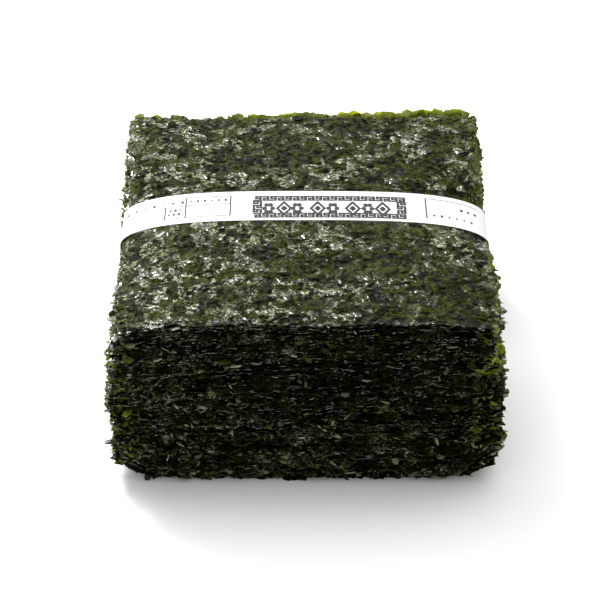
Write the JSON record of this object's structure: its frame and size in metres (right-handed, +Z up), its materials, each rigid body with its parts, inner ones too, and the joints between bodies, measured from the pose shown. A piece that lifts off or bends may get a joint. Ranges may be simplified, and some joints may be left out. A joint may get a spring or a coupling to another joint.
{
  "type": "banded stack of roasted laver sheets",
  "caption": "Tall square stack of thin roasted laver sheets with ragged edges, held together by a white printed paper band round its middle.",
  "frame": {"origin": "on the supporting surface, under the middle of the whole stack", "axes": "+X to the right along the band, +Y away from the viewer across the band, +Z up"},
  "size_m": [0.1984, 0.2136, 0.0992],
  "materials": {
    "laver": "dark green flaky surface, glossy in patches, yellow-green where light comes through",
    "band_paper": "smooth matt white, printed in grey and black"
  },
  "bodies": {
    "root": {"layer_01": "laver", "layer_02": "laver", "layer_03": "laver", "layer_04": "laver", "layer_05": "laver", "layer_06": "laver", "layer_07": "laver", "layer_08": "laver", "layer_09": "laver", "layer_10": "laver", "layer_11": "laver", "layer_12": "laver", "layer_13": "laver", "layer_14": "laver", "layer_15": "laver", "layer_16": "laver", "layer_17": "laver", "layer_18": "laver", "layer_19": "laver", "layer_20": "laver", "layer_21": "laver", "layer_22": "laver", "layer_23": "laver", "layer_24": "laver", "layer_25": "laver", "layer_26": "laver", "layer_27": "laver", "layer_28": "laver", "layer_29": "laver", "layer_30": "laver", "layer_31": "laver", "layer_32": "laver", "layer_33": "laver", "layer_34": "laver", "layer_35": "laver", "layer_36": "laver", "layer_37": "laver", "layer_38": "laver", "layer_39": "laver", "layer_40": "laver", "layer_41": "laver", "layer_42": "laver", "layer_43": "laver", "layer_44": "laver", "layer_45": "laver", "layer_46": "laver", "layer_47": "laver", "layer_48": "laver", "layer_49": "laver", "layer_50": "laver", "paper_band": "band_paper"}
  },
  "joints": []
}
